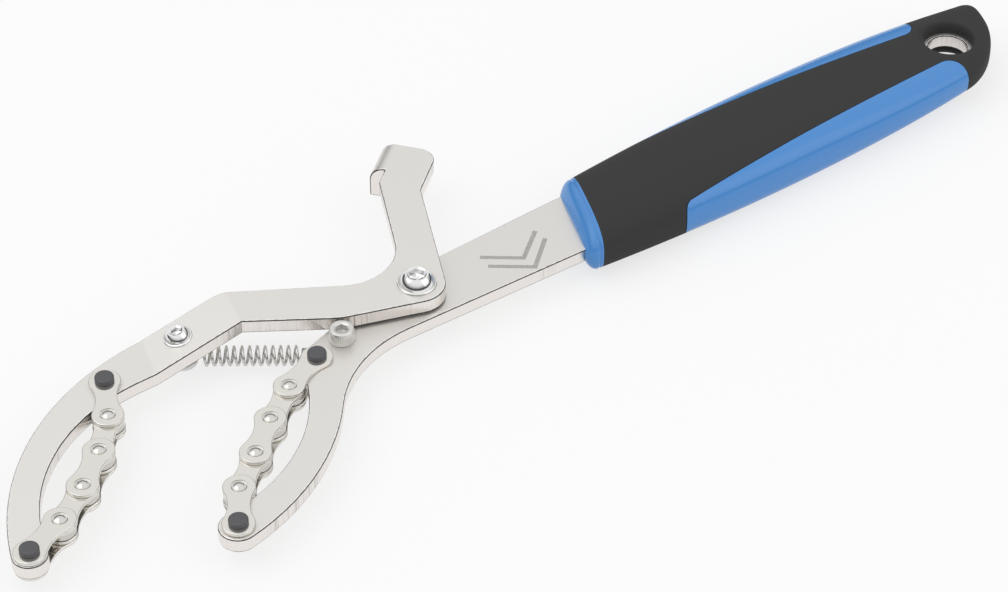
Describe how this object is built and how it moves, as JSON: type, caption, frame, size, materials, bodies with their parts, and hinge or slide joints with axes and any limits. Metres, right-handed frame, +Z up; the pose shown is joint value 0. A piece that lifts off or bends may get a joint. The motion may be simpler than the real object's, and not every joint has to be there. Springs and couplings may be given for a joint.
{
  "type": "bicycle chain whip",
  "caption": "Cassette holding tool: flat steel arm with a moulded grip, and two hooked jaws spanned by roller chain that a sprung thumb lever opens.",
  "frame": {"origin": "on the axis of the hanging hole in the grip's end, at the middle of the main arm's thickness", "axes": "+X along the handle from the pivot to the hanging hole, +Z up out of the flat arm on the side of the pivot screw's head, +Y to the side of the thumb lever"},
  "size_m": [0.3362, 0.1039, 0.0179],
  "materials": {
    "main_arm_nickel": "satin",
    "jaw_arm_nickel": "satin",
    "chain_plate": "polished",
    "roller_steel": "polished",
    "rivet_steel": "polished",
    "black_pin": "matte black oxide",
    "chrome_screw": "polished",
    "nut_steel": "turned",
    "stop_steel": "knurled",
    "spring_wire": "polished",
    "blue_plastic": "gloss",
    "black_rubber": "fine grain matte"
  },
  "bodies": {
    "main": {"main_arm": "main_arm_nickel", "grip_core": "blue_plastic", "grip_cover": "black_rubber", "pivot_screw": "chrome_screw", "pivot_nut": "nut_steel", "pivot_washer": "nut_steel", "stop_screw": "stop_steel", "main_end_pin_root": "black_pin", "main_end_pin_tip": "black_pin"},
    "jaw": {"jaw_arm": "jaw_arm_nickel", "spring_screw": "chrome_screw", "spring_nut": "nut_steel", "return_spring": "spring_wire", "jaw_end_pin_root": "black_pin", "jaw_end_pin_tip": "black_pin"},
    "main_link_1": {"main_link_1_plate_upper": "chain_plate", "main_link_1_plate_lower": "chain_plate", "main_rivet_2": "rivet_steel"},
    "main_link_2": {"main_link_2_plate_upper": "chain_plate", "main_link_2_plate_lower": "chain_plate"},
    "main_link_3": {"main_link_3_plate_upper": "chain_plate", "main_link_3_plate_lower": "chain_plate", "main_rivet_3": "rivet_steel", "main_rivet_4": "rivet_steel"},
    "main_link_4": {"main_link_4_plate_upper": "chain_plate", "main_link_4_plate_lower": "chain_plate"},
    "main_link_5": {"main_link_5_plate_upper": "chain_plate", "main_link_5_plate_lower": "chain_plate", "main_rivet_5": "rivet_steel"},
    "main_roller_2": {"main_roller_2": "roller_steel"},
    "main_roller_3": {"main_roller_3": "roller_steel"},
    "main_roller_4": {"main_roller_4": "roller_steel"},
    "main_roller_5": {"main_roller_5": "roller_steel"},
    "jaw_link_1": {"jaw_link_1_plate_upper": "chain_plate", "jaw_link_1_plate_lower": "chain_plate", "jaw_rivet_2": "rivet_steel"},
    "jaw_link_2": {"jaw_link_2_plate_upper": "chain_plate", "jaw_link_2_plate_lower": "chain_plate"},
    "jaw_link_3": {"jaw_link_3_plate_upper": "chain_plate", "jaw_link_3_plate_lower": "chain_plate", "jaw_rivet_3": "rivet_steel", "jaw_rivet_4": "rivet_steel"},
    "jaw_link_4": {"jaw_link_4_plate_upper": "chain_plate", "jaw_link_4_plate_lower": "chain_plate"},
    "jaw_link_5": {"jaw_link_5_plate_upper": "chain_plate", "jaw_link_5_plate_lower": "chain_plate", "jaw_rivet_5": "rivet_steel"},
    "jaw_roller_2": {"jaw_roller_2": "roller_steel"},
    "jaw_roller_3": {"jaw_roller_3": "roller_steel"},
    "jaw_roller_4": {"jaw_roller_4": "roller_steel"},
    "jaw_roller_5": {"jaw_roller_5": "roller_steel"}
  },
  "joints": [
    {"name": "jaw_hinge", "type": "hinge", "parent": "main", "child": "jaw", "pos_m": [-0.1846, 0, 0.0044], "axis": [0, 0, -1], "range_deg": [0, 30], "stiffness_Nm_per_rad": 0.25, "springref_deg": -20.05, "deforming": ["return_spring"]},
    {"name": "main_link_1_hinge", "type": "hinge", "parent": "main", "child": "main_link_1", "pos_m": [-0.2193, -0.0052, 0], "axis": [0, 0, 1], "range_deg": [-2, 2]},
    {"name": "main_link_2_hinge", "type": "hinge", "parent": "main_link_1", "child": "main_link_2", "pos_m": [-0.23099, -0.01016, 0], "axis": [0, 0, 1], "range_deg": [-2.72, 2.72]},
    {"name": "main_link_3_hinge", "type": "hinge", "parent": "main_link_2", "child": "main_link_3", "pos_m": [-0.24139, -0.01745, 0], "axis": [0, 0, 1], "range_deg": [-1.67, 1.67]},
    {"name": "main_link_4_hinge", "type": "hinge", "parent": "main_link_3", "child": "main_link_4", "pos_m": [-0.25105, -0.02569, 0], "axis": [0, 0, 1], "range_deg": [-1.65, 1.65]},
    {"name": "main_link_5_hinge", "type": "hinge", "parent": "main_link_4", "child": "main_link_5", "pos_m": [-0.26092, -0.03369, 0], "axis": [0, 0, 1], "range_deg": [-2.57, 2.57]},
    {"name": "main_roller_2_spin", "type": "hinge", "parent": "main_link_1", "child": "main_roller_2", "pos_m": [-0.23099, -0.01016, 0], "axis": [0, 0, 1], "continuous": true},
    {"name": "main_roller_3_spin", "type": "hinge", "parent": "main_link_3", "child": "main_roller_3", "pos_m": [-0.24139, -0.01745, 0], "axis": [0, 0, 1], "continuous": true},
    {"name": "main_roller_4_spin", "type": "hinge", "parent": "main_link_3", "child": "main_roller_4", "pos_m": [-0.25105, -0.02569, 0], "axis": [0, 0, 1], "continuous": true},
    {"name": "main_roller_5_spin", "type": "hinge", "parent": "main_link_5", "child": "main_roller_5", "pos_m": [-0.26092, -0.03369, 0], "axis": [0, 0, 1], "continuous": true},
    {"name": "jaw_link_1_hinge", "type": "hinge", "parent": "jaw", "child": "jaw_link_1", "pos_m": [-0.2679, 0.0186, 0], "axis": [0, 0, 1], "range_deg": [-2, 2]},
    {"name": "jaw_link_2_hinge", "type": "hinge", "parent": "jaw_link_1", "child": "jaw_link_2", "pos_m": [-0.27367, 0.00728, 0], "axis": [0, 0, 1], "range_deg": [-2.97, 2.97]},
    {"name": "jaw_link_3_hinge", "type": "hinge", "parent": "jaw_link_2", "child": "jaw_link_3", "pos_m": [-0.282, -0.0023, 0], "axis": [0, 0, 1], "range_deg": [-1.85, 1.85]},
    {"name": "jaw_link_4_hinge", "type": "hinge", "parent": "jaw_link_3", "child": "jaw_link_4", "pos_m": [-0.29151, -0.01072, 0], "axis": [0, 0, 1], "range_deg": [-2.08, 2.08]},
    {"name": "jaw_link_5_hinge", "type": "hinge", "parent": "jaw_link_4", "child": "jaw_link_5", "pos_m": [-0.30204, -0.01782, 0], "axis": [0, 0, 1], "range_deg": [-3.31, 3.31]},
    {"name": "jaw_roller_2_spin", "type": "hinge", "parent": "jaw_link_1", "child": "jaw_roller_2", "pos_m": [-0.27367, 0.00728, 0], "axis": [0, 0, 1], "continuous": true},
    {"name": "jaw_roller_3_spin", "type": "hinge", "parent": "jaw_link_3", "child": "jaw_roller_3", "pos_m": [-0.282, -0.0023, 0], "axis": [0, 0, 1], "continuous": true},
    {"name": "jaw_roller_4_spin", "type": "hinge", "parent": "jaw_link_3", "child": "jaw_roller_4", "pos_m": [-0.29151, -0.01072, 0], "axis": [0, 0, 1], "continuous": true},
    {"name": "jaw_roller_5_spin", "type": "hinge", "parent": "jaw_link_5", "child": "jaw_roller_5", "pos_m": [-0.30204, -0.01782, 0], "axis": [0, 0, 1], "continuous": true}
  ],
  "couplings": [
    {"joint": "main_link_2_hinge", "follows": "main_link_1_hinge", "ratio": -1.3339},
    {"joint": "main_link_3_hinge", "follows": "main_link_1_hinge", "ratio": -0.8202},
    {"joint": "main_link_4_hinge", "follows": "main_link_1_hinge", "ratio": 0.81},
    {"joint": "main_link_5_hinge", "follows": "main_link_1_hinge", "ratio": 1.2584},
    {"joint": "jaw_link_2_hinge", "follows": "jaw_link_1_hinge", "ratio": -1.4563},
    {"joint": "jaw_link_3_hinge", "follows": "jaw_link_1_hinge", "ratio": -0.9075},
    {"joint": "jaw_link_4_hinge", "follows": "jaw_link_1_hinge", "ratio": 1.0196},
    {"joint": "jaw_link_5_hinge", "follows": "jaw_link_1_hinge", "ratio": 1.6208}
  ]
}
